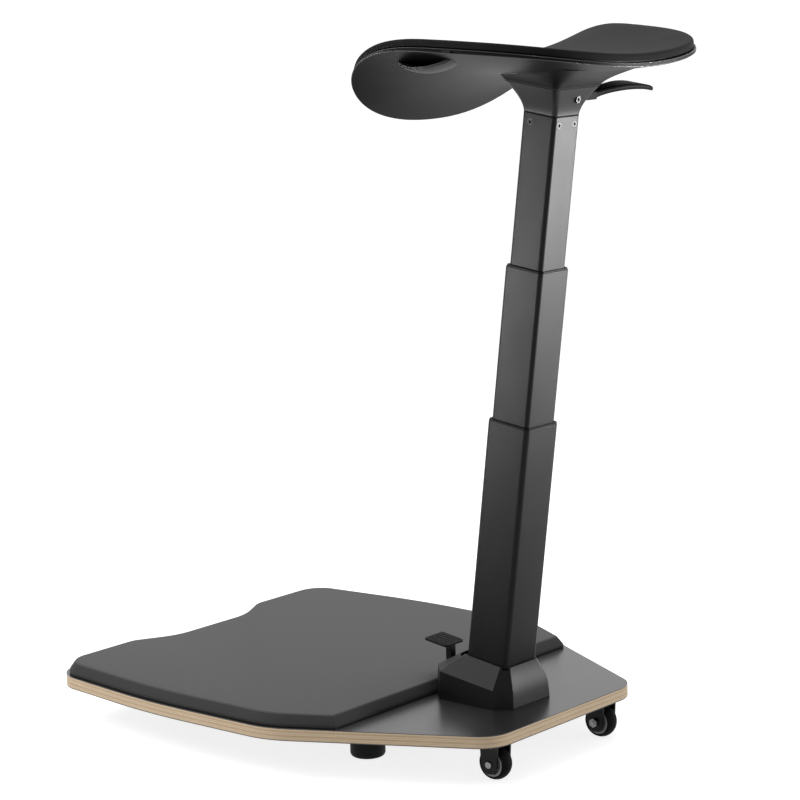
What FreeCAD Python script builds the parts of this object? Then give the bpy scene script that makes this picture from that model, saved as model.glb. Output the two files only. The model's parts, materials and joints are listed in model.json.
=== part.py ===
"""Leaning work seat: a saddle seat on a tilting three-stage column, with a padded standing board.

Millimetres, +Z up, the user faces -Y, the user's left is +X. The origin is on the floor at the
middle of the object's box. Column pieces are drawn upright in the column's own frame, where z is
the distance along the column from the board's top, and are then leaned back. Pieces in the boot
are drawn from the point where the column's line meets the board's top.
"""

import FreeCAD
import Part

import math
import os

from FreeCAD import Placement, Rotation, Vector

# Standing board
BOARD_FRONT_Y = -377.0
BOARD_BACK_Y = 245.0
BOARD_FRONT_HALF = 240.0
BOARD_WIDE_HALF = 258.0
BOARD_WIDE_Y = 4.0
BOARD_BACK_HALF = 132.0
BOARD_THICK = 15.0
BOARD_BULGE = 13.0
LAMINATE = 0.8
NOTCH_HALF = 112.0
NOTCH_FLOOR_HALF = 60.0
NOTCH_DEPTH = 28.0

# Mat on the board
MAT_THICK = 15.0
MAT_EDGE_INSET = 4.0
MAT_BEVEL = 8.0
MAT_LOW_WALL = 4.0
MAT_BACK = -66.0

# Casters and feet
CASTER_HEIGHT = 47.0
CASTER_X = 101.0
CASTER_Y = 219.0
WHEEL_R = 20.0
WHEEL_WIDTH = 18.0
HUB_R = 15.5
FORK_GAP = 1.5
FORK_THICK = 2.5
FOOT_R = 21.0
REAR_FOOT = (120.0, 39.0)
FRONT_FOOT = (0.0, -286.0)

# Column
COLUMN_Y = 142.0
COLUMN_LEAN = 8.0
TUBE_HALF = 30.0
STAGE_STEP = 3.25
TUBE_WALL = 2.0
TUBE_ROUND = 6.0
TILT_PIVOT = 22.0
TUBE_START = 14.0
LOWER_TOP = 340.0
MID_START = 240.0
MID_TOP = 523.0
UPPER_START = 450.0
UPPER_TOP = 701.0
GLIDE_GAP = 0.3
COLLAR_DEPTH = 25.0
COLLAR_LIP = 2.0
GLIDE_HEIGHT = 10.0

# Boot round the column's foot
BOOT_HALF = 50.0
BOOT_FRONT = -64.0
BOOT_BACK = 50.0
BOOT_CORNER = 17.0
BOOT_WALL = 3.0
BOOT_DRAFT = 1.5
BOOT_BACK_HEIGHT = 20.0
BOOT_TOP = 51.0
TILT_GAP = 4.6
SIDE_GAP = 0.4

# Tilt hinge, brake and pedal
HINGE_PLATE = 4.0
HINGE_PLATE_HALF = (38.0, 50.0)
HINGE_PLATE_Y = -6.0
CHEEK_X = 31.0
CHEEK_THICK = 5.0
CHEEK_R = 12.0
TILT_PIN_R = 6.0
SECTOR_R = 44.0
SECTOR_HALF = 12.0
SHOE_ANGLES = (10.0, 22.0)
SHOE_FRONT = -47.0
PEDAL_PIVOT = (-48.0, 24.0)
PEDAL_PIN_R = 2.5
PEDAL_ARM_HALF = 4.5
PEDAL_EAR = 3.0
PEDAL_PAD = (34.0, 34.0, 4.0)
PEDAL_PAD_AT = (-82.0, 54.5)
PEDAL_PAD_PITCH = 8.0
PAD_STUDS = 7

# Gas spring
CYLINDER_R = 14.0
CYLINDER_WALL = 2.0
CYLINDER_START = 472.0
ROD_R = 5.0
ROD_START = 250.0
ROD_TOP = 490.0
PLUG_START = 245.0
PLUG_TOP = 262.0

# Seat bracket and lever
BRACKET_TOP = 735.0
BRACKET_HALF = (42.0, 39.0)
BRACKET_SHIFT = -3.0
BRACKET_WALL = 3.0
LEVER_PIVOT = (-8.0, 720.0)
LEVER_Y = 13.0
LEVER_PIN_R = 2.5
PIN_HEAD_R = 4.2
LEVER_HALF = 8.0
LEVER_TIP = -164.0

# Seat
SEAT_Y = 221.0
SEAT_HALF_X = 188.0
SEAT_HALF_Y = 156.0
SEAT_SQUARE = 0.62
SEAT_TAPER = 0.18
SEAT_Z = 822.5
SIDE_RISE = 25.7
BACK_RISE = 1.6
FRONT_DROP = 62.0
CUSHION_THICK = 8.0
CUSHION_INSET = 2.5
CUSHION_ROLL = 3.5
CUSHION_BOARD_THICK = 2.0
PAN_TOP = CUSHION_THICK + CUSHION_BOARD_THICK
PAN_RIM = 5.0
PAN_BELLY = 7.0
PAN_WALL = 3.5
GRIP_AT = (160.0, 188.0)
GRIP_SPHERE_R = 60.0
GRIP_DEPTH = 14.0
GRIP_WALL = 3.0
GRIP_CUT_R = 62.0
GRIP_LIP = 12.0

BOARD_BOTTOM = CASTER_HEIGHT
BOARD_TOP = BOARD_BOTTOM + BOARD_THICK
COLUMN_FRAME = Placement(Vector(0, COLUMN_Y, BOARD_TOP), Rotation(Vector(1, 0, 0), -COLUMN_LEAN))
FOOT_FRAME = Placement(Vector(0, COLUMN_Y, BOARD_TOP), Rotation())
LEAN_ONLY = Placement(Vector(0, 0, 0), COLUMN_FRAME.Rotation)
MID_HALF = TUBE_HALF - STAGE_STEP
UPPER_HALF = MID_HALF - STAGE_STEP
FAR = 400.0


def placed(shape, frame):
    """A copy of the shape moved from a piece's own frame to the object's."""
    moved = shape.copy()
    moved.Placement = frame.multiply(moved.Placement)
    return moved


def closed(points):
    return Part.makePolygon(points + points[:1])


def rounded_polygon(corners):
    """A closed flat wire through (x, y, radius) corners, with a tangent arc at each corner."""
    count = len(corners)
    starts, ends, middles = [], [], []
    for i, (x, y, radius) in enumerate(corners):
        here = Vector(x, y, 0)
        to_before = (Vector(*corners[i - 1][:2], 0) - here).normalize()
        to_after = (Vector(*corners[(i + 1) % count][:2], 0) - here).normalize()
        half = to_before.getAngle(to_after) / 2
        centre = here + (to_before + to_after).normalize() * (radius / math.sin(half))
        starts.append(here + to_before * (radius / math.tan(half)))
        ends.append(here + to_after * (radius / math.tan(half)))
        middles.append(centre + (here - centre).normalize() * radius)
    edges = []
    for i in range(count):
        edges.append(Part.Arc(starts[i], middles[i], ends[i]).toShape())
        following = starts[(i + 1) % count]
        if ends[i].distanceToPoint(following) > 1e-6:
            edges.append(Part.LineSegment(ends[i], following).toShape())
    return Part.Wire(edges)


def rounded_rect(half_x, half_y, radius, z=0.0, centre_y=0.0):
    """A rounded rectangle's wire, flat at height z."""
    corners = [(sx * half_x, centre_y + sy * half_y, radius)
               for sx, sy in ((1, 1), (-1, 1), (-1, -1), (1, -1))]
    wire = rounded_polygon(corners)
    wire.translate(Vector(0, 0, z))
    return wire


def prism(wire, low, high):
    """The solid over a flat wire at z 0, from height low to high."""
    base = wire.copy()
    base.translate(Vector(0, 0, low))
    return Part.Face(base).extrude(Vector(0, 0, high - low))


def square_bar(half, radius, low, high):
    """An upright solid bar of rounded square section."""
    return prism(rounded_rect(half, half, radius), low, high)


def square_ring(outer, outer_r, inner, inner_r, low, high):
    """An upright tube of rounded square section."""
    return square_bar(outer, outer_r, low, high).cut(square_bar(inner, inner_r, low - 1, high + 1))


def octagon(half, front, back, corner):
    """The (x, y) corners of a rectangle with cut corners."""
    return [(half, front + corner), (half, back - corner), (half - corner, back), (corner - half, back),
            (-half, back - corner), (-half, front + corner), (corner - half, front), (half - corner, front)]


def rod(radius, start, end):
    """A round bar between two points."""
    run = end - start
    return Part.makeCylinder(radius, run.Length, start, run)


def cross_rod(radius, reach, y, z):
    """A round bar along X, reaching as far to both sides."""
    return rod(radius, Vector(-reach, y, z), Vector(reach, y, z))


def hexagon(radius, height, start, along):
    """A six-sided prism from start along a direction."""
    loop = [Vector(radius * math.cos(math.radians(60 * i)), radius * math.sin(math.radians(60 * i)), 0)
            for i in range(6)]
    block = Part.Face(closed(loop)).extrude(Vector(0, 0, height))
    block.Placement = Placement(start, Rotation(Vector(0, 0, 1), along))
    return block


# Standing board and what is under it


def board_wire():
    """The board's outline: a notched front, gently bulged sides and a narrow back."""
    bulge_x = (BOARD_FRONT_HALF + BOARD_WIDE_HALF) / 2 + BOARD_BULGE
    bulge_y = (BOARD_FRONT_Y + BOARD_WIDE_Y) / 2
    half = [(NOTCH_FLOOR_HALF, BOARD_FRONT_Y + NOTCH_DEPTH, 70), (NOTCH_HALF, BOARD_FRONT_Y, 40),
            (BOARD_FRONT_HALF, BOARD_FRONT_Y, 45), (bulge_x, bulge_y, 900),
            (BOARD_WIDE_HALF, BOARD_WIDE_Y, 120), (BOARD_BACK_HALF, BOARD_BACK_Y, 42)]
    mirrored = [(-x, y, r) for x, y, r in reversed(half)]
    return rounded_polygon(half + mirrored)


def board_layer(low, high):
    """One layer of the board, drilled for the hinge bolts."""
    layer = prism(board_wire(), low, high)
    for x, y in hinge_bolt_places():
        layer = layer.cut(rod(4.2, Vector(x, y, low - 1), Vector(x, y, high + 1)))
    return layer


def floor_mat():
    """A thick standing mat with a low wall and a bevelled upper edge, cut straight at the back."""
    outline = board_wire().makeOffset2D(-MAT_EDGE_INSET)
    waist = outline.copy()
    waist.translate(Vector(0, 0, MAT_LOW_WALL))
    crown = outline.makeOffset2D(-MAT_BEVEL)
    crown.translate(Vector(0, 0, MAT_THICK))
    mat = prism(outline, 0, MAT_LOW_WALL).fuse(Part.makeLoft([waist, crown], True, True))
    back = COLUMN_Y + MAT_BACK
    profile = [(back, -1), (back, MAT_LOW_WALL), (back - MAT_BEVEL, MAT_THICK),
               (back - MAT_BEVEL, MAT_THICK + 1), (back + FAR, MAT_THICK + 1), (back + FAR, -1)]
    beyond = Part.Face(closed([Vector(-FAR, y, z) for y, z in profile])).extrude(Vector(2 * FAR, 0, 0))
    mat = mat.cut(beyond).removeSplitter()
    mat.translate(Vector(0, 0, BOARD_TOP))
    return mat


def foot_places():
    x, y = REAR_FOOT
    return {"front_foot": FRONT_FOOT, "rear_left_foot": (x, y), "rear_right_foot": (-x, y)}


def foot(x, y):
    """A round rubber foot with a softened lower edge and a recess for its screw."""
    body = Part.makeCylinder(FOOT_R, BOARD_BOTTOM, Vector(x, y, 0))
    lower = [e for e in body.Edges if e.BoundBox.ZMax < 1e-3]
    body = body.makeFillet(5.0, lower)
    body = body.cut(Part.makeCylinder(7.0, 34.0, Vector(x, y, -1)))
    return body.cut(Part.makeCylinder(2.6, BOARD_BOTTOM + 2, Vector(x, y, -1)))


def foot_screws():
    screws = []
    for x, y in foot_places().values():
        head = Part.makeCylinder(5.0, 3.0, Vector(x, y, 30.0))
        shank = Part.makeCylinder(2.5, BOARD_BOTTOM - 33.0, Vector(x, y, 33.0))
        screws.append(head.fuse(shank))
    return Part.makeCompound(screws)


def caster_fork(side):
    """A fixed caster's pressed yoke: a top plate and two round-ended side plates with an axle hole."""
    under = BOARD_BOTTOM - 3
    yoke = prism(rounded_rect(24, 18, 5), under, BOARD_BOTTOM)
    inner = WHEEL_WIDTH / 2 + FORK_GAP
    start, low, end = Vector(0, 11.5, WHEEL_R), Vector(0, 0, WHEEL_R - 11.5), Vector(0, -11.5, WHEEL_R)
    front, back = Vector(0, -13, under + 1), Vector(0, 13, under + 1)
    profile = Part.Wire([Part.LineSegment(front, back).toShape(), Part.LineSegment(back, start).toShape(),
                         Part.Arc(start, low, end).toShape(), Part.LineSegment(end, front).toShape()])
    for way in (1, -1):
        cheek = Part.Face(profile).extrude(Vector(way * FORK_THICK, 0, 0))
        cheek.translate(Vector(way * inner, 0, 0))
        yoke = yoke.fuse(cheek)
    for x, y in fork_screw_offsets():
        yoke = yoke.cut(Part.makeCylinder(2.2, 10, Vector(x, y, under - 5)))
    yoke = yoke.cut(cross_rod(3.02, 30, 0, WHEEL_R)).removeSplitter()
    yoke.translate(Vector(side * CASTER_X, CASTER_Y, 0))
    return yoke


def fork_screw_offsets():
    return [(x, y) for x in (-19, 19) for y in (-12, 12)]


def caster_axle(side):
    """The axle bolt: a domed head outside one cheek and a nut outside the other."""
    outer = WHEEL_WIDTH / 2 + FORK_GAP + FORK_THICK
    head = rod(4.4, Vector(outer, 0, 0), Vector(outer + 2.2, 0, 0))
    head = head.makeFillet(1.3, [e for e in head.Edges if e.BoundBox.XMin > outer + 2.1])
    nut = hexagon(5.8, 4.0, Vector(-outer, 0, 0), Vector(-1, 0, 0))
    shaft = rod(3.0, Vector(-outer - 5, 0, 0), Vector(outer, 0, 0))
    axle = shaft.fuse([head, nut]).removeSplitter()
    if side < 0:
        axle.rotate(Vector(0, 0, 0), Vector(0, 0, 1), 180)
    axle.translate(Vector(side * CASTER_X, CASTER_Y, WHEEL_R))
    return axle


def turned(edges, side):
    """A piece of a wheel turned about its axle from a closed profile of edges."""
    piece = Part.Face(Part.Wire(edges)).revolve(Vector(0, 0, 0), Vector(1, 0, 0), 360)
    piece.translate(Vector(side * CASTER_X, CASTER_Y, WHEEL_R))
    return piece


def caster_tyre(side):
    half = WHEEL_WIDTH / 2
    inner_a, inner_b = Vector(-half, 0, HUB_R), Vector(half, 0, HUB_R)
    crown_a, crown_b = Vector(-half, 0, HUB_R + 1.5), Vector(half, 0, HUB_R + 1.5)
    return turned([Part.LineSegment(inner_a, inner_b).toShape(),
                   Part.LineSegment(inner_b, crown_b).toShape(),
                   Part.Arc(crown_b, Vector(0, 0, WHEEL_R), crown_a).toShape(),
                   Part.LineSegment(crown_a, inner_a).toShape()], side)


def caster_hub(side):
    """A dished wheel centre: a rim ring, a thin web and a long bored boss."""
    half = WHEEL_WIDTH / 2
    right = [(half + 1, 3.05), (half + 1, 6.0), (3, 6.5), (3, HUB_R - 3.5),
             (half - 0.5, HUB_R - 3.0), (half - 0.5, HUB_R)]
    loop = [Vector(x, 0, r) for x, r in right] + [Vector(-x, 0, r) for x, r in reversed(right)]
    return turned(closed(loop).Edges, side)


def caster_screws():
    """Round-headed wood screws through the four corners of both caster plates."""
    screws = []
    for side in (1, -1):
        for x, y in fork_screw_offsets():
            at = Vector(side * CASTER_X + x, CASTER_Y + y, BOARD_BOTTOM - 5)
            head = Part.makeCylinder(3.8, 2, at)
            screws.append(head.fuse(Part.makeCylinder(2.0, 5, at)))
    return Part.makeCompound(screws)


# Tilt hinge, boot and pedal


def foot_point(y, s):
    """A point given across and along the column, in the foot's frame."""
    return LEAN_ONLY.multVec(Vector(0, y, s))


def hinge_bolt_places():
    return [(x, COLUMN_Y + y) for x in (-24.0, 24.0) for y in (-40.0, 34.0)]


def ear(x_from, thick, y, z, radius, half_foot):
    """An upright plate with a round head, standing on the hinge plate."""
    low = HINGE_PLATE - 1
    front, back = Vector(x_from, y - half_foot, low), Vector(x_from, y + half_foot, low)
    crown_a, crown_b = Vector(x_from, y + radius, z), Vector(x_from, y - radius, z)
    outline = Part.Wire([Part.LineSegment(front, back).toShape(), Part.LineSegment(back, crown_a).toShape(),
                         Part.Arc(crown_a, Vector(x_from, y, z + radius), crown_b).toShape(),
                         Part.LineSegment(crown_b, front).toShape()])
    return Part.Face(outline).extrude(Vector(thick, 0, 0))


def hinge_bracket():
    """The steel hinge on the board: a plate, two cheeks for the column and two ears for the pedal."""
    half_x, half_y = HINGE_PLATE_HALF
    bracket = prism(rounded_rect(half_x, half_y, 12, 0, HINGE_PLATE_Y), 0, HINGE_PLATE)
    pivot = foot_point(0, TILT_PIVOT)
    y, z = PEDAL_PIVOT
    inner = PEDAL_ARM_HALF + 1.0
    for x in (CHEEK_X, -CHEEK_X - CHEEK_THICK):
        bracket = bracket.fuse(ear(x, CHEEK_THICK, pivot.y, pivot.z, CHEEK_R, CHEEK_R + 8))
    for x in (inner, -inner - PEDAL_EAR):
        bracket = bracket.fuse(ear(x, PEDAL_EAR, y, z, 5.5, 6.5))
    bracket = bracket.cut(cross_rod(TILT_PIN_R + 0.02, 60, pivot.y, pivot.z))
    bracket = bracket.cut(cross_rod(PEDAL_PIN_R + 0.02, 60, y, z))
    for x, y in hinge_bolt_places():
        bracket = bracket.cut(Part.makeCylinder(4.0, 10, Vector(x, y - COLUMN_Y, -3)))
    return placed(bracket.removeSplitter(), FOOT_FRAME)


def hinge_bolts():
    """Bolts with a button head below the board, screwed into the hinge plate."""
    bolts = []
    for x, y in hinge_bolt_places():
        head = Part.makeCylinder(8.0, 4.5, Vector(x, y, BOARD_BOTTOM - 4.5))
        head = head.makeFillet(2.0, [e for e in head.Edges if e.BoundBox.ZMax < BOARD_BOTTOM - 4.4])
        shank = Part.makeCylinder(4.0, BOARD_THICK + HINGE_PLATE, Vector(x, y, BOARD_BOTTOM))
        bolts.append(head.fuse(shank).removeSplitter())
    return Part.makeCompound(bolts)


def tilt_pin():
    pivot = foot_point(0, TILT_PIVOT)
    return placed(cross_rod(TILT_PIN_R, CHEEK_X + CHEEK_THICK + 4, pivot.y, pivot.z), FOOT_FRAME)


def tilt_pin_clips():
    """Push-on clips that keep the tilt pin in its cheeks."""
    pivot = foot_point(0, TILT_PIVOT)
    clips = []
    for side in (1, -1):
        start = Vector(side * (CHEEK_X + CHEEK_THICK + 0.3), pivot.y, pivot.z)
        clips.append(rod(9.0, start, start + Vector(side * 1.5, 0, 0)).cut(
            cross_rod(TILT_PIN_R, 60, pivot.y, pivot.z)))
    return placed(Part.makeCompound(clips), FOOT_FRAME)


def boot_stack(inset, low, rim_drop, top):
    """The boot's form drawn in by inset: a straight wall up to a leaned rim, then slopes to the column."""
    slope = math.tan(math.radians(COLUMN_LEAN))
    wall = octagon(BOOT_HALF - inset, BOOT_FRONT + inset, BOOT_BACK - inset, BOOT_CORNER - inset * 0.6)
    foot_ring = octagon(BOOT_HALF + BOOT_DRAFT - inset, BOOT_FRONT - BOOT_DRAFT + inset,
                        BOOT_BACK + BOOT_DRAFT - inset, BOOT_CORNER - inset * 0.6)
    bottom = [Vector(x, y, low) for x, y in foot_ring]
    rim = [Vector(x, y, BOOT_BACK_HEIGHT + (BOOT_BACK - y) * slope - rim_drop) for x, y in wall]
    mouth_x, mouth_front, mouth_back, mouth_corner, s = top
    mouth = [LEAN_ONLY.multVec(Vector(x, y, s))
             for x, y in octagon(mouth_x, mouth_front, mouth_back, mouth_corner)]
    lower = Part.makeLoft([closed(bottom), closed(rim)], True, True)
    return lower.fuse(Part.makeLoft([closed(rim), closed(mouth)], True, True))


def column_boot():
    """The fixed boot: a hollow moulding round the column's foot, open in front of the tube for the tilt."""
    lip = 2.2
    reach = TUBE_HALF + SIDE_GAP
    front = -TUBE_HALF - TILT_GAP
    outer = boot_stack(0, 0, 0, (reach + lip, front - lip, reach + lip, 8, BOOT_TOP))
    inner = boot_stack(BOOT_WALL, -1, 1.5, (reach, front, reach, 3.5, BOOT_TOP + 0.8))
    boot = outer.cut(inner)
    slot_half = PEDAL_ARM_HALF + 1.5
    arm_slot = Part.makeBox(2 * slot_half, 30, 20, Vector(-slot_half, BOOT_FRONT - 12, 21))
    return placed(boot.cut(arm_slot).removeSplitter(), FOOT_FRAME)


def pedal_arm():
    """A bent flat bar: from the brake shoe past its pivot, out of the boot and up to the tread."""
    y, z = PEDAL_PIVOT
    tread_slope = math.tan(math.radians(PEDAL_PAD_PITCH))
    pad_y, pad_z = PEDAL_PAD_AT
    rise_front, rise_back = -75.5, -67.5
    profile = [(SHOE_FRONT, z + 14.5), (SHOE_FRONT, z + 5.5), (y + 5.4, z + 2.5), (y + 6, z),
               (y + 4.8, z - 3.6), (y, z - 6), (y - 5, z - 4), (y - 8.5, z + 3),
               (rise_front + 6, z + 3), (rise_front, z + 9),
               (rise_front, pad_z - (rise_front - pad_y) * tread_slope),
               (rise_back, pad_z - (rise_back - pad_y) * tread_slope),
               (rise_back, z + 11), (y - 10, z + 10.5), (y - 6, z + 14.5)]
    bar = Part.Face(closed([Vector(-PEDAL_ARM_HALF, a, b) for a, b in profile])).extrude(
        Vector(2 * PEDAL_ARM_HALF, 0, 0))
    return placed(bar.cut(cross_rod(PEDAL_PIN_R + 0.05, 30, y, z)), FOOT_FRAME)


def brake_shoe():
    """A friction block on the pedal, hollowed to the column's brake sector and 0.3 mm clear of it."""
    pivot = foot_point(0, TILT_PIVOT)
    low, high = [pivot.z + SECTOR_R * math.sin(math.radians(a)) for a in SHOE_ANGLES]
    block = Part.makeBox(16, 14, high - low, Vector(-8, SHOE_FRONT, low))
    drum = cross_rod(SECTOR_R + 0.3, 30, pivot.y, pivot.z)
    return placed(block.cut(drum), FOOT_FRAME)


def pedal_tread():
    """The tread: a thin plate with rounded corners and a grid of raised studs."""
    wide, deep, thick = PEDAL_PAD
    plate = prism(rounded_rect(wide / 2, deep / 2, 2.5), 0, thick - 1.0)
    pitch = (wide - 3.0) / PAD_STUDS
    first = -pitch * (PAD_STUDS - 1) / 2
    studs = [Part.makeBox(pitch * 0.62, pitch * 0.62, 1.2,
                          Vector(first + pitch * (i - 0.31), first + pitch * (j - 0.31), thick - 1.2))
             for i in range(PAD_STUDS) for j in range(PAD_STUDS)]
    y, z = PEDAL_PAD_AT
    frame = FOOT_FRAME.multiply(Placement(Vector(0, y, z), Rotation(Vector(1, 0, 0), -PEDAL_PAD_PITCH)))
    return placed(plate.fuse(studs).removeSplitter(), frame)


def pedal_pin():
    return placed(cross_rod(PEDAL_PIN_R, PEDAL_ARM_HALF + 5.5, *PEDAL_PIVOT), FOOT_FRAME)


# Column, drawn upright along its own axis


def tube(half, low, high, radius):
    return square_ring(half, radius, half - TUBE_WALL, radius - TUBE_WALL, low, high)


def outer_tube():
    """The lowest stage, with clearance holes for the tilt pin."""
    stage = tube(TUBE_HALF, TUBE_START, LOWER_TOP, TUBE_ROUND)
    return placed(stage.cut(cross_rod(TILT_PIN_R + 0.4, 60, 0, TILT_PIVOT)), COLUMN_FRAME)


def column_foot():
    """The block in the lowest stage that turns on the tilt pin."""
    block = square_bar(TUBE_HALF - TUBE_WALL, TUBE_ROUND - TUBE_WALL, TUBE_START, TUBE_START + 46)
    return placed(block.cut(cross_rod(TILT_PIN_R + 0.05, 60, 0, TILT_PIVOT)), COLUMN_FRAME)


def brake_sector():
    """The curved block on the column's front that the pedal's shoe holds."""
    corner = Vector(-SECTOR_HALF, -TUBE_HALF - SECTOR_R, TILT_PIVOT - 2)
    block = Part.makeBox(2 * SECTOR_HALF, SECTOR_R, 21, corner)
    return placed(block.common(cross_rod(SECTOR_R, SECTOR_HALF, 0, TILT_PIVOT)), COLUMN_FRAME)


def middle_tube():
    return placed(tube(MID_HALF, MID_START, MID_TOP, TUBE_ROUND - 1), COLUMN_FRAME)


def inner_tube():
    """The top stage, with countersunk holes for the screws that hold the seat bracket."""
    stage = tube(UPPER_HALF, UPPER_START, UPPER_TOP, TUBE_ROUND - 1)
    for start, inward in tube_screw_places():
        stage = stage.cut(countersunk(start, inward, 0.05))
    return placed(stage, COLUMN_FRAME)


def collar(outer_half, inner_half, top):
    """A plastic guide collar: a thin liner inside a tube's mouth and a lip on the tube's end."""
    bore, bore_r = inner_half + GLIDE_GAP, TUBE_ROUND - TUBE_WALL - 0.5
    liner = square_ring(outer_half - TUBE_WALL, TUBE_ROUND - TUBE_WALL, bore, bore_r,
                        top - COLLAR_DEPTH, top)
    lip = square_ring(outer_half - 0.5, TUBE_ROUND - 0.5, bore, bore_r, top, top + COLLAR_LIP)
    return placed(liner.fuse(lip).removeSplitter(), COLUMN_FRAME)


def glide(half, wall_half, low_end):
    """A plastic guide shoe under a tube's lower end, running in the next tube."""
    ring = square_ring(wall_half - GLIDE_GAP, TUBE_ROUND - TUBE_WALL, half - TUBE_WALL - 2,
                       TUBE_ROUND - TUBE_WALL - 1, low_end - GLIDE_HEIGHT, low_end)
    return placed(ring, COLUMN_FRAME)


def middle_plug():
    """The end block in the middle stage that holds the gas spring's rod."""
    block = square_bar(MID_HALF - TUBE_WALL, TUBE_ROUND - TUBE_WALL - 1, PLUG_START, PLUG_TOP)
    return placed(block.cut(Part.makeCylinder(ROD_R, 40, Vector(0, 0, ROD_START))), COLUMN_FRAME)


def gas_rod():
    """The gas spring's rod with its piston in the barrel."""
    piston_low = CYLINDER_START + 12
    stem = Part.makeCylinder(ROD_R, ROD_TOP - ROD_START, Vector(0, 0, ROD_START))
    piston_r = CYLINDER_R - CYLINDER_WALL - 0.1
    piston = Part.makeCylinder(piston_r, ROD_TOP - piston_low, Vector(0, 0, piston_low))
    return placed(stem.fuse(piston).removeSplitter(), COLUMN_FRAME)


def gas_cylinder():
    """The gas spring's barrel: closed round the rod below, with a bored neck above."""
    top = UPPER_TOP
    barrel = Part.makeCylinder(CYLINDER_R, top - CYLINDER_START, Vector(0, 0, CYLINDER_START))
    room = Part.makeCylinder(CYLINDER_R - CYLINDER_WALL, top - 20 - CYLINDER_START,
                             Vector(0, 0, CYLINDER_START + 10))
    neck = Part.makeCylinder(9.0, 8.0, Vector(0, 0, top))
    rod_bore = Part.makeCylinder(ROD_R + 0.05, 20, Vector(0, 0, CYLINDER_START - 5))
    pin_bore = Part.makeCylinder(3.05, 30, Vector(0, 0, top - 14))
    return placed(barrel.fuse(neck).cut(room).cut(rod_bore).cut(pin_bore).removeSplitter(), COLUMN_FRAME)


def cylinder_nut():
    nut = hexagon(14.0, 3.5, Vector(0, 0, UPPER_TOP + 4), Vector(0, 0, 1))
    return placed(nut.cut(Part.makeCylinder(9.0, 20, Vector(0, 0, UPPER_TOP))), COLUMN_FRAME)


def valve_pin():
    """The gas spring's release pin, standing out of the barrel's neck under the lever."""
    top = LEVER_PIVOT[1] - 4.8
    return placed(Part.makeCylinder(3.0, top - UPPER_TOP + 10, Vector(0, 0, UPPER_TOP - 10)), COLUMN_FRAME)


# Seat bracket, lever and their screws, drawn in the column's frame


def countersunk(start, inward, spare=0.0):
    """A countersunk screw: a cone from its face at start to a shank along inward."""
    cone = Part.makeCone(4.2 + spare, 2.2 + spare, 1.8, start, inward)
    return cone.fuse(Part.makeCylinder(2.2 + spare, 5.0, start + inward * 1.7, inward))


def tube_screw_places():
    """Face point and inward direction of each screw at the top of the inner tube."""
    z = UPPER_TOP - 10
    places = [(Vector(x, side * UPPER_HALF, z), Vector(0, -side, 0)) for side in (1, -1) for x in (-14, 14)]
    places += [(Vector(side * UPPER_HALF, -11, z), Vector(-side, 0, 0)) for side in (1, -1)]
    return places


def tube_screws():
    screws = []
    for start, inward in tube_screw_places():
        screws.append(countersunk(start, inward).cut(hexagon(1.9, 1.8, start - inward * 0.2, inward)))
    return placed(Part.makeCompound(screws), COLUMN_FRAME)


def flare_share(s):
    return ((s - UPPER_TOP) / (BRACKET_TOP - UPPER_TOP)) ** 1.6


def bracket_flare(inset=0.0):
    """The bracket's outward sweep from the tube's size to the seat's neck, drawn in by inset."""
    layers = []
    for i in range(5):
        s = UPPER_TOP + (BRACKET_TOP - UPPER_TOP) * i / 4
        share = flare_share(s)
        half_x = UPPER_HALF + (BRACKET_HALF[0] - UPPER_HALF) * share - inset
        half_y = UPPER_HALF + (BRACKET_HALF[1] - UPPER_HALF) * share - inset
        corner = TUBE_ROUND - 1 + 2 * share - inset / 2
        layers.append(rounded_rect(half_x, half_y, corner, s, BRACKET_SHIFT * share))
    return Part.makeLoft(layers, True, False)


def seat_bolt_places():
    return [(-26.0, -28.0), (26.0, -28.0), (26.0, 20.0)]


def seat_bracket():
    """The cast seat bracket: a hollow flare, a plug in the tube, a web, a bolting ring, a lever slot."""
    half_x, half_y = BRACKET_HALF
    plug_half = UPPER_HALF - TUBE_WALL
    plug = square_ring(plug_half, TUBE_ROUND - TUBE_WALL - 1, plug_half - 4, 2,
                       UPPER_TOP - 38, UPPER_TOP + 1)
    web = square_bar(UPPER_HALF - 2.5, 3, UPPER_TOP, UPPER_TOP + 4)
    ring = prism(rounded_rect(half_x - 2.5, half_y - 2.5, 6, 0, BRACKET_SHIFT), BRACKET_TOP - 4, BRACKET_TOP)
    ring = ring.cut(prism(rounded_rect(18, 16, 4, 0, BRACKET_SHIFT), BRACKET_TOP - 9, BRACKET_TOP + 1))
    ring = ring.common(bracket_flare())
    bracket = bracket_flare().cut(bracket_flare(BRACKET_WALL)).fuse([plug, web, ring]).removeSplitter()
    bracket = bracket.cut(Part.makeCylinder(9.0, 9, Vector(0, 0, UPPER_TOP - 2)))
    for start, inward in tube_screw_places():
        bracket = bracket.cut(countersunk(start, inward, 0.05))
    for x, y in seat_bolt_places():
        bracket = bracket.cut(Part.makeCylinder(2.6, 10, Vector(x, y, BRACKET_TOP - 7)))
    x, s = LEVER_PIVOT
    bracket = bracket.cut(rod(LEVER_PIN_R + 0.02, Vector(x, -60, s), Vector(x, 60, s)))
    bracket = bracket.cut(rod(PIN_HEAD_R + 0.05, Vector(x, lever_pin_seat(), s), Vector(x, 60, s)))
    slot = Part.makeBox(50, 2 * LEVER_HALF + 3, 22, Vector(-70, LEVER_Y - LEVER_HALF - 1.5, s - 9))
    return placed(bracket.cut(slot), COLUMN_FRAME)


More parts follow.
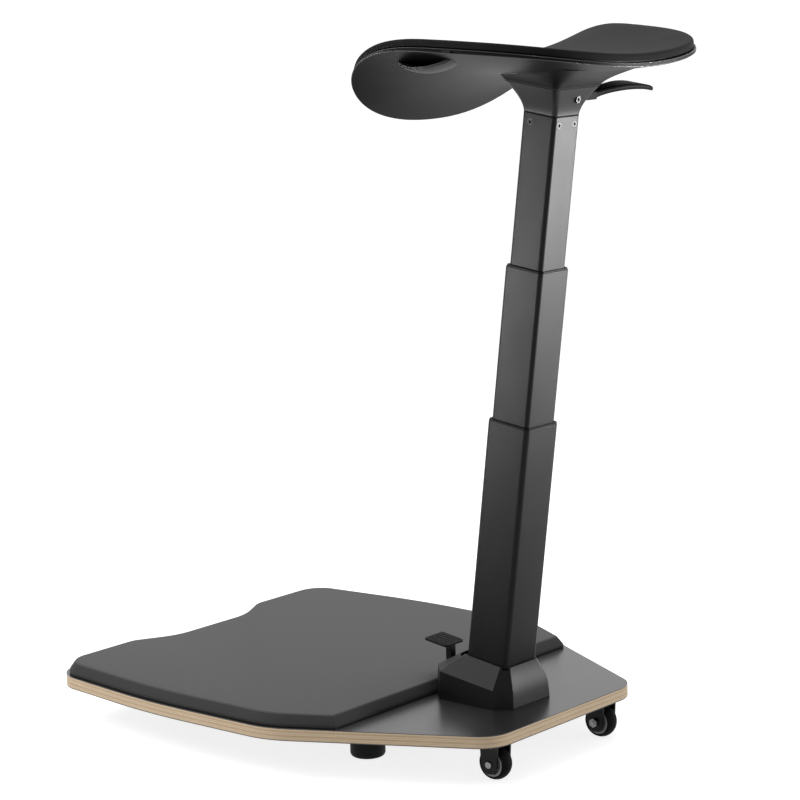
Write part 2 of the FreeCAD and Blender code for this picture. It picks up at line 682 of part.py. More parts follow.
def seat_bolts():
    """Bolts up through the bracket's ring into the seat pan's neck."""
    bolts = []
    for x, y in seat_bolt_places():
        head = Part.makeCylinder(4.0, 2.5, Vector(x, y, BRACKET_TOP - 6.5))
        bolts.append(head.fuse(Part.makeCylinder(2.5, 11, Vector(x, y, BRACKET_TOP - 4))))
    return placed(Part.makeCompound(bolts), COLUMN_FRAME)


def lever_pin_seat():
    """Where the head of the lever's pivot screw is sunk in the bracket's back."""
    share = flare_share(LEVER_PIVOT[1])
    return BRACKET_SHIFT * share + UPPER_HALF + (BRACKET_HALF[1] - UPPER_HALF) * share - 2.2


def lever_pin():
    """The lever's pivot screw, whose socket head shows on the bracket's back."""
    x, s = LEVER_PIVOT
    seat = lever_pin_seat()
    shank = rod(LEVER_PIN_R, Vector(x, 4 - seat, s), Vector(x, seat, s))
    head = rod(PIN_HEAD_R, Vector(x, seat, s), Vector(x, seat + 4.0, s))
    socket = hexagon(2.0, 4, Vector(x, seat + 2.2, s), Vector(0, 1, 0))
    return placed(shank.fuse(head).cut(socket).removeSplitter(), COLUMN_FRAME)


def lever_layer(x, z, half, thick):
    """One section of the lever's paddle, square to its length."""
    wire = rounded_rect(half, thick / 2, thick * 0.42)
    wire.Placement = Placement(Vector(x, LEVER_Y, z), Rotation(Vector(1, 1, 1), 120))
    return wire


def release_lever():
    """A rocker inside the bracket with a neck through its wall."""
    x, s = LEVER_PIVOT
    rocker = Part.makeBox(22, LEVER_Y + LEVER_HALF + 5, 8.6, Vector(x - 9, -6, s - 4.3))
    neck = Part.makeBox(46, 2 * LEVER_HALF - 2, 8.6, Vector(x - 48, LEVER_Y - LEVER_HALF + 1, s - 4.3))
    lever = rocker.fuse(neck).removeSplitter()
    return placed(lever.cut(rod(LEVER_PIN_R + 0.05, Vector(x, -30, s), Vector(x, 40, s))), COLUMN_FRAME)


def lever_paddle():
    """The leaf-shaped finger paddle at the lever's outer end."""
    x, s = LEVER_PIVOT
    root = x - 48
    layers = [(root, s + 0.5, 7.0, 9.0), (root - 16, s + 4.0, 9.0, 7.5), (-100, s + 7.0, 13.0, 7.0),
              (-132, s + 6.5, 15.0, 6.5), (LEVER_TIP + 7, s + 2.5, 11.5, 5.0), (LEVER_TIP, s + 0.5, 7.0, 4.0)]
    return placed(Part.makeLoft([lever_layer(*layer) for layer in layers], True, False), COLUMN_FRAME)


# Seat


def seat_height(x, y):
    """The seat's upper face: raised sides, a nearly level back and a front that rolls down."""
    u = x / SEAT_HALF_X
    v = (y - SEAT_Y) / SEAT_HALF_Y
    roll = BACK_RISE * max(v, 0.0) ** 3 - FRONT_DROP * max(-v, 0.0) ** 2.6
    return SEAT_Z + SIDE_RISE * u ** 2 + roll


def belly(x, y):
    """How much lower the pan's underside is than its rim, largest in the middle."""
    u = x / SEAT_HALF_X
    v = (y - SEAT_Y) / SEAT_HALF_Y
    return PAN_BELLY * (1 - u * u - v * v)


def seat_face(drop, bellied=False):
    """The seat's curved face lowered by drop, and by the pan's belly where asked."""
    grid = []
    for i in range(11):
        x = (i / 5 - 1) * (SEAT_HALF_X + 15)
        row = []
        for j in range(11):
            y = SEAT_Y + (j / 5 - 1) * (SEAT_HALF_Y + 15)
            row.append(Vector(x, y, seat_height(x, y) - drop - (belly(x, y) if bellied else 0.0)))
        grid.append(row)
    surface = Part.BSplineSurface()
    surface.interpolate(grid)
    return surface.toShape()


def seat_prism(inset):
    """The seat's outline, a squared oval that is wider in front, drawn in by inset, as an upright solid."""
    points = []
    for step in range(40):
        turn = math.radians(9 * step)
        across = math.copysign(abs(math.cos(turn)) ** SEAT_SQUARE, math.cos(turn))
        along = math.copysign(abs(math.sin(turn)) ** SEAT_SQUARE, math.sin(turn))
        x = (SEAT_HALF_X - inset) * across * (1 - SEAT_TAPER * along)
        points.append(Vector(x, SEAT_Y + (SEAT_HALF_Y - inset) * along, 600))
    outline = Part.BSplineCurve()
    outline.interpolate(points, PeriodicFlag=True)
    return Part.Face(Part.Wire([outline.toShape()])).extrude(Vector(0, 0, 400))


def above(face):
    return face.extrude(Vector(0, 0, 300))


def below(face):
    return face.extrude(Vector(0, 0, -300))


def seat_cushion():
    """The upholstered pad: an even layer over the seat's curve with a rolled upper edge."""
    pad = seat_prism(CUSHION_INSET).common(seat_face(0).extrude(Vector(0, 0, -CUSHION_THICK)))
    rim = [e for e in pad.Edges if e.BoundBox.XLength > SEAT_HALF_X]
    upper = max(rim, key=lambda e: e.BoundBox.ZMax)
    return pad.makeFillet(CUSHION_ROLL, [upper])


def cushion_board():
    layer = seat_face(CUSHION_THICK).extrude(Vector(0, 0, -CUSHION_BOARD_THICK))
    return seat_prism(CUSHION_INSET + 3).common(layer)


def seat_neck():
    """The pan's square neck, which carries the bracket's flare on up into the seat."""
    layers = []
    for rise, grow in ((0.0, 0.0), (6.0, 5.0), (12.0, 13.0), (20.0, 27.0), (30.0, 48.0)):
        layers.append(rounded_rect(BRACKET_HALF[0] + grow, BRACKET_HALF[1] + grow, 7 + grow / 2,
                                   BRACKET_TOP + rise, BRACKET_SHIFT))
    neck = placed(Part.makeLoft(layers, True, False), COLUMN_FRAME)
    return neck.cut(above(seat_face(PAN_TOP + 2)))


def seat_shell():
    """The moulded pan: a shallow bowl with a rim, a solid middle and a neck for the bracket."""
    drop = PAN_TOP + PAN_RIM
    pan = seat_prism(0).cut(above(seat_face(PAN_TOP))).cut(below(seat_face(drop, True)))
    hollow = seat_prism(12).cut(below(seat_face(drop - PAN_WALL, True)))
    middle = placed(Part.makeBox(160, 154, 200, Vector(-80, -80, BRACKET_TOP - 60)), COLUMN_FRAME)
    pan = pan.cut(hollow.cut(middle)).fuse(seat_neck()).removeSplitter()
    for x, y in seat_bolt_places():
        pan = pan.cut(placed(Part.makeCylinder(2.5, 12, Vector(x, y, BRACKET_TOP - 5)), COLUMN_FRAME))
    return pan


def hand_grip(side):
    """A scoop under the seat's edge: a shallow dome cut open on its outer side with a bowed lip."""
    x, y = GRIP_AT
    surface_z = seat_height(x, y) - PAN_TOP - PAN_RIM - belly(x, y)
    slope = math.degrees(math.atan(2 * SIDE_RISE * x / SEAT_HALF_X ** 2))
    dome = Part.makeSphere(GRIP_SPHERE_R).cut(Part.makeSphere(GRIP_SPHERE_R - GRIP_WALL))
    dome.translate(Vector(0, 0, GRIP_SPHERE_R - GRIP_DEPTH))
    scoop = dome.common(Part.makeCylinder(GRIP_CUT_R, 80, Vector(GRIP_LIP - GRIP_CUT_R, 0, -40)))
    scoop.rotate(Vector(0, 0, 0), Vector(0, 1, 0), -slope)
    scoop.translate(Vector(x, y, surface_z))
    scoop = scoop.cut(above(seat_face(PAN_TOP + PAN_RIM, True)))
    return scoop if side > 0 else scoop.mirror(Vector(0, 0, 0), Vector(1, 0, 0))


def build():
    """Every node's solid by name."""
    nodes = {
        "base_board": board_layer(BOARD_BOTTOM + LAMINATE, BOARD_TOP - LAMINATE),
        "top_laminate": board_layer(BOARD_TOP - LAMINATE, BOARD_TOP),
        "bottom_laminate": board_layer(BOARD_BOTTOM, BOARD_BOTTOM + LAMINATE),
        "floor_mat": floor_mat(), "foot_screws": foot_screws(), "caster_screws": caster_screws(),
        "hinge_bracket": hinge_bracket(), "hinge_bolts": hinge_bolts(), "tilt_pin": tilt_pin(),
        "tilt_pin_clips": tilt_pin_clips(), "column_boot": column_boot(), "pedal_pin": pedal_pin(),
        "pedal_arm": pedal_arm(), "pedal_tread": pedal_tread(), "brake_shoe": brake_shoe(),
        "outer_tube": outer_tube(), "column_foot": column_foot(), "brake_sector": brake_sector(),
        "outer_collar": collar(TUBE_HALF, MID_HALF, LOWER_TOP),
        "middle_tube": middle_tube(), "middle_collar": collar(MID_HALF, UPPER_HALF, MID_TOP),
        "middle_glide": glide(MID_HALF, TUBE_HALF - TUBE_WALL, MID_START),
        "middle_plug": middle_plug(), "gas_rod": gas_rod(), "inner_tube": inner_tube(),
        "inner_glide": glide(UPPER_HALF, MID_HALF - TUBE_WALL, UPPER_START),
        "gas_cylinder": gas_cylinder(), "cylinder_nut": cylinder_nut(), "valve_pin": valve_pin(),
        "seat_bracket": seat_bracket(), "tube_screws": tube_screws(), "seat_bolts": seat_bolts(),
        "lever_pin": lever_pin(), "release_lever": release_lever(), "lever_paddle": lever_paddle(),
        "seat_shell": seat_shell(), "cushion_board": cushion_board(), "seat_cushion": seat_cushion(),
    }
    for name, (x, y) in foot_places().items():
        nodes[name] = foot(x, y)
    for word, side in (("left", 1), ("right", -1)):
        nodes[word + "_caster_fork"] = caster_fork(side)
        nodes[word + "_caster_axle"] = caster_axle(side)
        nodes[word + "_caster_tyre"] = caster_tyre(side)
        nodes[word + "_caster_hub"] = caster_hub(side)
        nodes[word + "_hand_grip"] = hand_grip(side)
    return nodes


def main():
    os.makedirs("parts", exist_ok=True)
    for name, shape in build().items():
        solids = shape.Solids
        whole = solids[0] if len(solids) == 1 else Part.makeCompound(solids)
        whole.exportStep(os.path.join("parts", name + ".step"))


main()
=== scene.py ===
"""The leaning seat's looks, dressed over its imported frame. Metres, +Z up, the user faces -Y."""

import json
import math

import bmesh
import bpy
from mathutils import Matrix, Vector
from mathutils.kdtree import KDTree


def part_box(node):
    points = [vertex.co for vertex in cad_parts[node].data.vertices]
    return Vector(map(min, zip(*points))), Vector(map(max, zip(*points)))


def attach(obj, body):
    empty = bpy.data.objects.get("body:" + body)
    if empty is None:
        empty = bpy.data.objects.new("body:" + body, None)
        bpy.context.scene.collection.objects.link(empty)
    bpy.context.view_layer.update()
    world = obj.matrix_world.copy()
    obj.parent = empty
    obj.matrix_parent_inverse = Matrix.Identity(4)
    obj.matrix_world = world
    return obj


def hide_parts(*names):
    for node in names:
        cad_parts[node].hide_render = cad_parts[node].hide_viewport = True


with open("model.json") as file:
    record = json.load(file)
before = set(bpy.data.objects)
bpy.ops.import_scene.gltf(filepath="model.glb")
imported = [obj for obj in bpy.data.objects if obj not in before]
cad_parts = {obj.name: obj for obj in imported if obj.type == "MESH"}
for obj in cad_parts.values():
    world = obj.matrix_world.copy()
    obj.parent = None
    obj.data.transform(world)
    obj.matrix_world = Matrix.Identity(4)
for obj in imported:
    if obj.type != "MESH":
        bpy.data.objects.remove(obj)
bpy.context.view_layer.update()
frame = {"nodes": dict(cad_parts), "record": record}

BODY_OF = {node: body for body, members in frame["record"]["behaviour"]["bodies"].items() for node in members}
SLOT_OF = {part["node"]: part["material_slot"] for part in frame["record"]["subparts"]}

# The column's foot on the board and the way it leans; the places along it of the bracket's two joints, drawn as
# lines of painted shade for the gap, and the lines' half width, fade, painted shade level and dulling
FOOT = Vector((0.0, 0.142, 0.062))
LEAN = Vector((0.0, math.sin(math.radians(8.0)), math.cos(math.radians(8.0))))
BRACKET_FOOT, BRACKET_TOP = 0.701, 0.735
SEAM_CORE, SEAM_FADE, SEAM_PAINTED_SHADE, SEAM_DULLING = 0.0005, 0.0013, 0.0008, 0.5

# The board's veneers, the mat's top and how far below it the mat's edges darken
VENEER, VENEER_WANDER = 0.00268, 0.0011
MAT_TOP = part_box("floor_mat")[1].z
MAT_EDGE_DARK, MAT_EDGE_LIGHT = MAT_TOP - 0.0022, MAT_TOP - 0.0006

# Softened edges: the usual width, the nodes with their own, and the angles in degrees from which an edge counts
EDGE = 0.0005
OWN_EDGE = {"column_boot": 0.0010, "seat_bracket": 0.0014, "inner_tube": 0.0014, "lever_paddle": 0.0008,
            "seat_shell": 0.0008, "left_hand_grip": 0.0008, "right_hand_grip": 0.0008, "top_laminate": 0.0,
            "bottom_laminate": 0.0, "tube_screws": 0.0003, "lever_pin": 0.0004, "pedal_tread": 0.0002,
            "outer_collar": 0.0003, "middle_collar": 0.0003}
CREASE, MAT_CREASE, PAD_CREASE = 28.0, 24.0, 50.0

# Distances at which the points of a mesh are one, and angles in degrees below which two faces are one
WELD, SPECK, RIM_WELD = 2e-6, 1e-6, 0.0007
FLAT, PAD_FLAT = 0.35, 0.02

# The mat's rounded corner; the pad's swell, its reach from the rim, and how upright the normals of its top are
MAT_CORNER = 0.0014
PAD_SWELL, PAD_REACH, PAD_TOP = 0.0018, 0.035, 0.5

# Nodes that get a soft piece of their own, and nodes inside the column, boot and seat that keep their CAD form
SOFT = {"floor_mat", "seat_cushion"}
HIDDEN = {"hinge_bolts", "tilt_pin", "tilt_pin_clips", "pedal_pin", "column_foot", "middle_plug", "gas_rod",
          "gas_cylinder", "cylinder_nut", "valve_pin", "middle_glide", "inner_glide", "seat_bolts",
          "cushion_board"}

# The photograph's camera: frame and focal length in pixels, sensor in millimetres, angles in degrees, and
# offsets from the column's foot
PIXELS, SENSOR = 800, 36.0
FOCAL, PITCH, AZIMUTH, ROLL = 2655.32, 10.012, 131.182, -1.713
SIDEWAYS, UPWARDS, DISTANCE = -0.116632, 0.351895, 3.16477

# The studio: half the floor's side, its grey and its glow, the surround's light, and each lamp's place, target,
# side, power in watts and the angle that its grid keeps the light within
FLOOR_HALF, FLOOR_GREY, FLOOR_GLOW, SURROUND = 60.0, 0.5, 0.82, 0.48
LAMPS = {
    "right_softbox": ((-1.5, 1.6, 0.42), (0.0, 0.24, 0.55), 0.4, 3.5, 25.0),
    "left_softbox": ((1.5, -1.1, 0.35), (0.0, 0.2, 0.60), 0.4, 1.0, 30.0),
    "top_softbox": ((-0.9, -0.4, 2.3), (0.0, 0.0, 0.2), 1.8, 38.0, 180.0),
    "front_fill": ((1.3, -1.3, 1.7), (0.0, 0.0, 0.2), 1.2, 12.0, 120.0),
}


class Value:
    """A number socket that takes part in Python arithmetic by adding Math nodes."""

    def __init__(self, bench, socket):
        self.bench = bench
        self.socket = socket

    def math(self, operation, *terms):
        return self.bench.add("Math", {"operation": operation}, dict(enumerate(terms)))

    def __add__(self, other):
        return self.math("ADD", self, other)

    __radd__ = __add__

    def __mul__(self, other):
        return self.math("MULTIPLY", self, other)

    __rmul__ = __mul__

    def __sub__(self, other):
        return self.math("SUBTRACT", self, other)

    def __rsub__(self, other):
        return self.math("SUBTRACT", other, self)

    def fraction(self):
        return self.math("FRACT", self)

    def size(self):
        return self.math("ABSOLUTE", self)


class Bench:
    """The node tree of a material or of the world, and a single way to add any node to it."""

    def __init__(self, owner):
        owner.use_nodes = True
        self.owner = owner
        self.tree = owner.node_tree
        self.shader = next(n for n in self.tree.nodes if n.type in ("BSDF_PRINCIPLED", "BACKGROUND"))

    def add(self, kind, settings, values, output=0):
        """A node of this kind with its settings, its sockets' values or links, and the output asked for."""
        node = self.tree.nodes.new("ShaderNode" + kind)
        for name, setting in settings.items():
            setattr(node, name, setting)
        for name, value in values.items():
            self.feed(node.inputs[name], value)
        return Value(self, node.outputs[output])

    def feed(self, socket, value):
        if isinstance(value, Value):
            self.tree.links.new(value.socket, socket)
        else:
            socket.default_value = value

    def set(self, **sockets):
        """Fills the shader's sockets, named with _ for a space, and gives back the material or world."""
        for name, value in sockets.items():
            self.feed(self.shader.inputs[name.replace("_", " ")], value)
        return self.owner

    def place(self):
        return self.add("TexCoord", {}, {}, "Object")

    def height(self):
        return self.add("SeparateXYZ", {}, {"Vector": self.place()}, "Z")

    def up_column(self):
        """The distance from the column's foot, measured the way it leans."""
        along = self.add("VectorMath", {"operation": "DOT_PRODUCT"}, {0: self.place(), 1: LEAN}, "Value")
        return along - FOOT.dot(LEAN)

    def stretched(self, scale):
        return self.add("Mapping", {}, {"Vector": self.place(), "Scale": scale})

    def noise(self, scale, detail=3.0, roughness=0.5, place=None):
        values = {"Vector": place or self.place(), "Scale": scale, "Detail": detail, "Roughness": roughness}
        return self.add("TexNoise", {}, values, "Fac")

    def step(self, value, low, high):
        """A smooth rise from 0 to 1 while the value goes from low to high."""
        return self.add("MapRange", {"interpolation_type": "SMOOTHSTEP"},
                        {"Value": value, "From Min": low, "From Max": high})

    def blend(self, share, low, high):
        """A colour between two, by a share from 0 to 1."""
        ends = [c if isinstance(c, Value) else (*c, 1) for c in (low, high)]
        return self.add("Mix", {"data_type": "RGBA"}, {0: share, 6: ends[0], 7: ends[1]}, 2)

    def bump(self, height, strength, depth, under=None):
        """A relief of this depth, over the relief under it if there is one."""
        values = {"Height": height, "Strength": strength, "Distance": depth}
        if under:
            values["Normal"] = under
        return self.add("Bump", {}, values, "Normal")

    def looked_at(self):
        """1 for rays from the camera, and for those mirrored or let through by the object, else 0."""
        camera, glossy, through = (self.add("LightPath", {}, {}, "Is %s Ray" % kind)
                                   for kind in ("Camera", "Glossy", "Transmission"))
        return self.add("Clamp", {}, {"Value": camera + glossy + through})


def finish(name):
    return Bench(bpy.data.materials.new(name))


def grey(level):
    return (level, level, level)


def coated_metal(name, low, high, peel, shine, seams=()):
    """Satin black coating: a fine orange peel, a faint cloudiness, and lines of painted shade, also duller,
    where parts meet.
    """
    coat = finish(name)
    skin = coat.noise(peel, detail=2.0)
    cloud = coat.noise(14.0, detail=4.0)
    colour = coat.blend(cloud, grey(low), grey(high))
    roughness = 0.36 + 0.10 * cloud
    for seam in seams:
        # Painted shade: a dark line along each joint stands for the shadow in the gap; the line is also made
        # duller.
        joint_shade_and_dulling = 1 - coat.step((coat.up_column() - seam).size(), SEAM_CORE, SEAM_FADE)
        colour = coat.blend(joint_shade_and_dulling, colour, grey(SEAM_PAINTED_SHADE))
        roughness = roughness + SEAM_DULLING * joint_shade_and_dulling
    return coat.set(Base_Color=colour, Roughness=roughness, Specular_IOR_Level=shine,
                    Normal=coat.bump(skin, strength=0.14, depth=0.0004))


def moulded_black(name, low, high, roughness, grain, shine):
    """Dark moulded plastic, or thick paint, with a fine grain."""
    plastic = finish(name)
    fine = plastic.noise(grain, detail=3.0, roughness=0.6)
    broad = plastic.noise(9.0, detail=3.0)
    return plastic.set(Base_Color=plastic.blend(broad, grey(low), grey(high)),
                       Roughness=roughness + 0.10 * broad, Specular_IOR_Level=shine,
                       Normal=plastic.bump(fine, strength=0.06, depth=0.0004))


def laminate():
    """Black laminate with a fine pearl texture and faint handling marks."""
    sheet = finish("board_laminate")
    pearl = sheet.noise(1500.0, detail=2.0)
    rubbed = sheet.noise(5.0, detail=6.0, roughness=0.6)
    return sheet.set(Base_Color=sheet.blend(rubbed, grey(0.012), grey(0.018)),
                     Roughness=0.20 + 0.10 * rubbed, Specular_IOR_Level=0.75,
                     Normal=sheet.bump(pearl, strength=0.06, depth=0.0003))


def ply_edge():
    """Birch ply seen on its edge: pale veneers, a little darker across the grain, between thin glue lines."""
    ply = finish("ply_edge")
    wander = ply.noise(11.0, detail=3.0)
    layer = (ply.height() + VENEER_WANDER * wander) * (1 / VENEER)
    across = (layer.fraction() - 0.5).size() * 2
    pair = ((layer * 0.5).fraction() - 0.5).size() * 2
    streaks = ply.noise(70.0, detail=5.0, roughness=0.65, place=ply.stretched((1, 1, 16)))
    patches = ply.noise(16.0, detail=4.0, roughness=0.6, place=ply.stretched((1, 1, 4)))
    ends = ply.noise(520.0, detail=3.0, roughness=0.6, place=ply.stretched((1, 1, 0.6)))
    long_grain = ply.blend(streaks, (0.65, 0.49, 0.315), (0.79, 0.65, 0.485))
    end_grain = ply.blend(ends, (0.48, 0.325, 0.19), (0.64, 0.48, 0.31))
    wood = ply.blend(ply.step(pair, 0.42, 0.58) * (0.35 + 0.6 * patches), long_grain, end_grain)
    glue = ply.step(across, 0.86, 0.97) * ply.step(patches, 0.30, 0.50)
    return ply.set(Base_Color=ply.blend(glue, wood, (0.26, 0.15, 0.08)), Roughness=0.55 + 0.2 * streaks,
                   Specular_IOR_Level=0.3, Normal=ply.bump(ends + 0.6 * glue, strength=0.22, depth=0.0003))


def mat_foam():
    """Moulded mat foam: a matte skin with a fine pebble and slow changes of shade, darker down its edges."""
    foam = finish("mat_foam")
    pebble = foam.add("TexVoronoi", {"feature": "SMOOTH_F1"},
                      {"Vector": foam.place(), "Scale": 650.0, "Smoothness": 0.6}, "Distance")
    pores = foam.noise(1800.0, detail=2.0)
    tone = foam.noise(4.0, detail=4.0, roughness=0.55)
    top = foam.step(foam.height(), MAT_EDGE_DARK, MAT_EDGE_LIGHT)
    skin = foam.blend(tone, grey(0.046), grey(0.060))
    relief = foam.bump(pebble, strength=0.22, depth=0.0006)
    return foam.set(Base_Color=foam.blend(top, grey(0.020), skin), Roughness=0.62 + 0.12 * tone,
                    Specular_IOR_Level=0.25, Normal=foam.bump(pores, strength=0.12, depth=0.0003, under=relief))


def seat_skin():
    """The seat pad's soft skin: a matte fine leather grain."""
    skin = finish("seat_skin")
    cells = skin.add("TexVoronoi", {"feature": "DISTANCE_TO_EDGE"},
                     {"Vector": skin.place(), "Scale": 720.0}, "Distance")
    tone = skin.noise(7.0, detail=4.0, roughness=0.55)
    fine = skin.noise(1600.0, detail=2.0)
    grain = skin.bump(skin.step(cells, 0.0, 0.18), strength=0.12, depth=0.0004)
    return skin.set(Base_Color=skin.blend(tone, grey(0.014), grey(0.020)), Roughness=0.62 + 0.10 * tone,
                    Specular_IOR_Level=0.02, Normal=skin.bump(fine, strength=0.05, depth=0.0003, under=grain))


def rubber(name, level, roughness, shine):
    """Black rubber with a patchy, dusty bloom."""
    piece = finish(name)
    bloom = piece.noise(45.0, detail=5.0, roughness=0.6)
    fine = piece.noise(1100.0, detail=2.0)
    return piece.set(Base_Color=piece.blend(bloom, grey(level), grey(level * 1.7)),
                     Roughness=roughness + 0.15 * bloom, Specular_IOR_Level=shine,
                     Normal=piece.bump(fine, strength=0.12, depth=0.0003))


def nylon():
    """Grey moulded nylon."""
    piece = finish("wheel_nylon")
    tone = piece.noise(60.0, detail=4.0)
    return piece.set(Base_Color=piece.blend(tone, grey(0.30), grey(0.38)), Roughness=0.42 + 0.1 * tone,
                     Normal=piece.bump(piece.noise(700.0), strength=0.08, depth=0.0003))


def plated_steel(name, low, high):
    """Plated steel with a fine rubbed grain."""
    plate = finish(name)
    rubbed = plate.noise(260.0, detail=4.0, roughness=0.6, place=plate.stretched((1, 1, 8)))
    cloud = plate.noise(70.0, detail=3.0)
    return plate.set(Base_Color=plate.blend(cloud, grey(low), grey(high)), Metallic=1.0,
                     Roughness=0.24 + 0.16 * rubbed)


FINISH = {
    "birch_ply": ply_edge(),
    "black_laminate": laminate(),
    "mat_foam": mat_foam(),
    "black_rubber": rubber("foot_rubber", level=0.004, roughness=0.50, shine=0.15),
    "tyre_black": rubber("tyre_rubber", level=0.004, roughness=0.46, shine=0.04),
    "grey_nylon": nylon(),
    "zinc_steel": plated_steel("zinc_plate", low=0.55, high=0.72),
    "fork_steel": moulded_black("fork_paint", low=0.004, high=0.006, roughness=0.34, grain=800.0, shine=0.15),
    "column_coat": coated_metal("column_coat", low=0.0035, high=0.005, peel=900.0, shine=0.12,
                                seams=(BRACKET_FOOT,)),
    "cast_black": coated_metal("bracket_coat", low=0.0035, high=0.005, peel=620.0, shine=0.22,
                               seams=(BRACKET_FOOT, BRACKET_TOP)),
    "black_plastic": moulded_black("shell_plastic", low=0.004, high=0.006, roughness=0.40, grain=1300.0,
                                   shine=0.06),
    "seat_skin": seat_skin(),
}
DULL_STEEL = plated_steel("dull_zinc", low=0.16, high=0.26)
SCREW_STEEL = coated_metal("blackened_screw", low=0.010, high=0.018, peel=1400.0, shine=0.22)
BOOT_PLASTIC = moulded_black("boot_plastic", low=0.003, high=0.005, roughness=0.30, grain=1100.0, shine=0.12)
LEVER_PLASTIC = moulded_black("lever_plastic", low=0.003, high=0.005, roughness=0.46, grain=1500.0, shine=0.03)
# The seat shell's rim band: glossier plastic whose lighter colour is a painted highlight along the rim.
RIM_GLOSS_AND_PAINTED_HIGHLIGHT = moulded_black("glossy_rim_painted_highlight", low=0.020, high=0.035, roughness=0.28, grain=1300.0, shine=0.50)
GRIP_PLASTIC = moulded_black("grip_plastic", low=0.07, high=0.09, roughness=0.50, grain=1500.0, shine=0.10)
OWN_FINISH = {"tube_screws": SCREW_STEEL, "lever_pin": SCREW_STEEL, "column_boot": BOOT_PLASTIC,
              "release_lever": LEVER_PLASTIC, "lever_paddle": LEVER_PLASTIC, "caster_screws": SCREW_STEEL,
              "left_caster_axle": DULL_STEEL, "right_caster_axle": DULL_STEEL,
              "left_hand_grip": GRIP_PLASTIC, "right_hand_grip": GRIP_PLASTIC}
GLOSS_AND_HIGHLIGHT_EDGES = {"seat_shell": RIM_GLOSS_AND_PAINTED_HIGHLIGHT}


def paint(piece, material):
    piece.data.materials.clear()
    piece.data.materials.append(material)


def add_piece(name, bm, node, material=None):
    """A new object from a bmesh, standing for a CAD node and riding on its body."""
    mesh = bpy.data.meshes.new(name)
    bm.to_mesh(mesh)
    bm.free()
    piece = bpy.data.objects.new(name, mesh)
    bpy.context.scene.collection.objects.link(piece)
    paint(piece, material or FINISH[SLOT_OF[node]])
    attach(piece, BODY_OF[node])
    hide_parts(node)
    return piece


def welded(node, flat=FLAT):
    """The CAD node's faces as one welded mesh, with flat areas joined into single faces."""
    bm = bmesh.new()
    bm.from_mesh(frame["nodes"][node].data)
    bmesh.ops.remove_doubles(bm, verts=bm.verts, dist=WELD)
    bmesh.ops.dissolve_degenerate(bm, dist=SPECK, edges=bm.edges)
    bmesh.ops.dissolve_limit(bm, angle_limit=math.radians(flat), verts=bm.verts, edges=bm.edges,
                             use_dissolve_boundaries=False)
    return bm


def smooth_between(bm, crease):
    """Smooth shading that breaks at edges sharper than the crease."""
    for face in bm.faces:
        face.smooth = True
    for line in bm.edges:
        line.smooth = line.is_manifold and line.calc_face_angle(0.0) < math.radians(crease)


def dress(node, edge):
    """A node's form with softened edges and smooth curves, in its own finish."""
    bm = welded(node)
    if node in GLOSS_AND_HIGHLIGHT_EDGES:
        bmesh.ops.remove_doubles(bm, verts=bm.verts, dist=RIM_WELD)
    smooth_between(bm, CREASE)
    piece = add_piece(node + "_dressed", bm, node, OWN_FINISH.get(node))
    if edge:
        soften = piece.modifiers.new("edge", "BEVEL")
        soften.width = edge
        soften.segments = 2
        soften.limit_method = "ANGLE"
        soften.angle_limit = math.radians(CREASE)
        soften.harden_normals = True
        # The shell's bevelled rim gets the glossier plastic, its lighter colour a painted highlight.
        if node in GLOSS_AND_HIGHLIGHT_EDGES:
            piece.data.materials.append(GLOSS_AND_HIGHLIGHT_EDGES[node])
            soften.material = 1
            soften.use_clamp_overlap = False


def dress_nodes():
    """Softens every rigid node that shows, and paints the hidden ones."""
    for node, cad in frame["nodes"].items():
        if node in HIDDEN:
            paint(cad, FINISH[SLOT_OF[node]])
        elif node not in SOFT:
            dress(node, OWN_EDGE.get(node, EDGE))


def rounded_mat():
    """The standing mat with the soft corners of moulded foam."""
    bm = welded("floor_mat")
    corners = [e for e in bm.edges if e.is_manifold and e.calc_face_angle(0.0) > math.radians(MAT_CREASE)]
    bmesh.ops.bevel(bm, geom=corners, offset=MAT_CORNER, offset_type="OFFSET", affect="EDGES", segments=3,
                    profile=0.5, material=-1, clamp_overlap=True)
    bmesh.ops.recalc_face_normals(bm, faces=bm.faces)
    for face in bm.faces:
        face.smooth = True
    add_piece("standing_mat", bm, "floor_mat")


def crowned_pad():
    """The seat pad: its top swells from the rounded rim towards the middle."""
    bm = welded("seat_cushion", PAD_FLAT)
    bm.normal_update()
    sides = [v.co.copy() for v in bm.verts if v.normal.z < PAD_TOP]
    rim = KDTree(len(sides))
    for index, point in enumerate(sides):
        rim.insert(point, index)
    rim.balance()
    for vert in bm.verts:
        if vert.normal.z >= PAD_TOP:
            share = min(1.0, rim.find(vert.co)[2] / PAD_REACH)
            vert.co += vert.normal * PAD_SWELL * share * (2 - share)
    smooth_between(bm, PAD_CREASE)
    add_piece("seat_pad", bm, "seat_cushion")


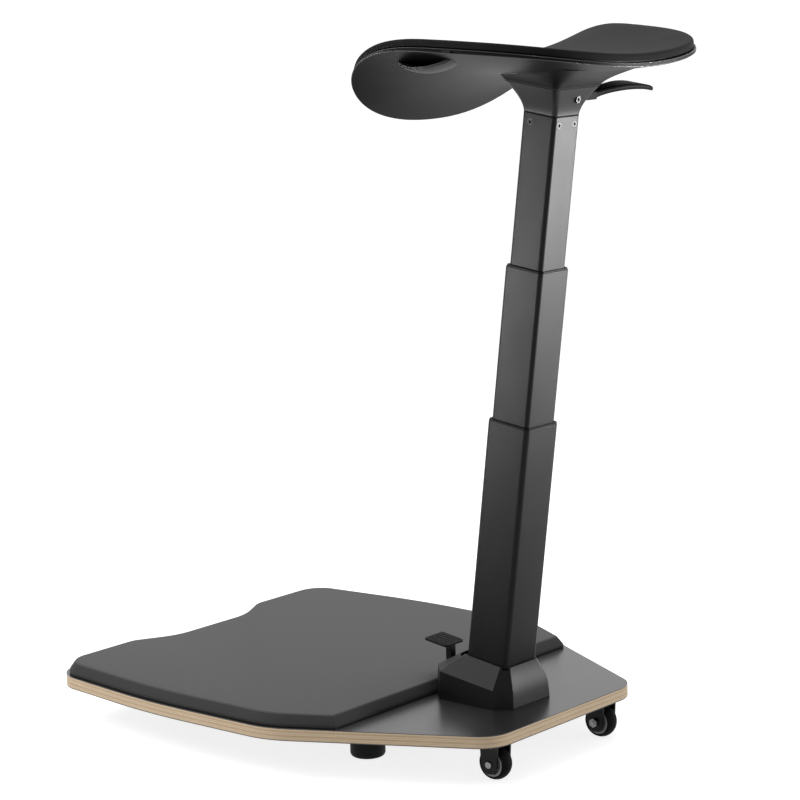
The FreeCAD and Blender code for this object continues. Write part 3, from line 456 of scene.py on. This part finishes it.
def place_camera():
    """The camera of the photograph, fitted to its outline."""
    azimuth, pitch, roll = (math.radians(a) for a in (AZIMUTH, PITCH, ROLL))
    back = Vector((math.sin(azimuth) * math.cos(pitch), -math.cos(azimuth) * math.cos(pitch), math.sin(pitch)))
    level = Vector((math.cos(azimuth), math.sin(azimuth), 0.0))
    rise = back.cross(level)
    right = math.cos(roll) * level + math.sin(roll) * rise
    up = back.cross(right)
    data = bpy.data.cameras.new("camera")
    data.sensor_width = SENSOR
    data.lens = FOCAL / PIXELS * SENSOR
    camera = bpy.data.objects.new("camera", data)
    bpy.context.scene.collection.objects.link(camera)
    turn = Matrix((right, up, back)).transposed().to_4x4()
    eye = FOOT + back * DISTANCE + right * SIDEWAYS + up * UPWARDS
    camera.matrix_world = Matrix.Translation(eye) @ turn
    bpy.context.scene.camera = camera


def lamp(name, place, target, size, power, spread):
    """A square soft lamp aimed at a point, with a grid that keeps its light within the spread's angle."""
    data = bpy.data.lights.new(name, "AREA")
    data.size = size
    data.energy = power
    data.spread = math.radians(spread)
    light = bpy.data.objects.new(name, data)
    bpy.context.scene.collection.objects.link(light)
    light.location = place
    light.rotation_euler = (Vector(target) - Vector(place)).to_track_quat("-Z", "Y").to_euler()


def light_studio():
    """A white floor that keeps a soft shadow, a white surround and soft lamps."""
    bm = bmesh.new()
    bmesh.ops.create_grid(bm, x_segments=1, y_segments=1, size=FLOOR_HALF)
    mesh = bpy.data.meshes.new("floor")
    bm.to_mesh(mesh)
    bm.free()
    floor = bpy.data.objects.new("floor", mesh)
    bpy.context.scene.collection.objects.link(floor)
    white = finish("floor_white")
    paint(floor, white.set(Base_Color=(*grey(FLOOR_GREY), 1), Roughness=0.9, Specular_IOR_Level=0.0,
                           Emission_Color=white.looked_at() * FLOOR_GLOW, Emission_Strength=1.0))
    world = bpy.data.worlds.new("studio")
    bpy.context.scene.world = world
    surround = Bench(world)
    surround.set(Color=surround.blend(surround.looked_at(), grey(SURROUND), grey(1.0)), Strength=1.0)
    for name, settings in LAMPS.items():
        lamp(name, *settings)


dress_nodes()
rounded_mat()
crowned_pad()
place_camera()
light_studio()
bpy.context.scene.view_settings.view_transform = "Standard"
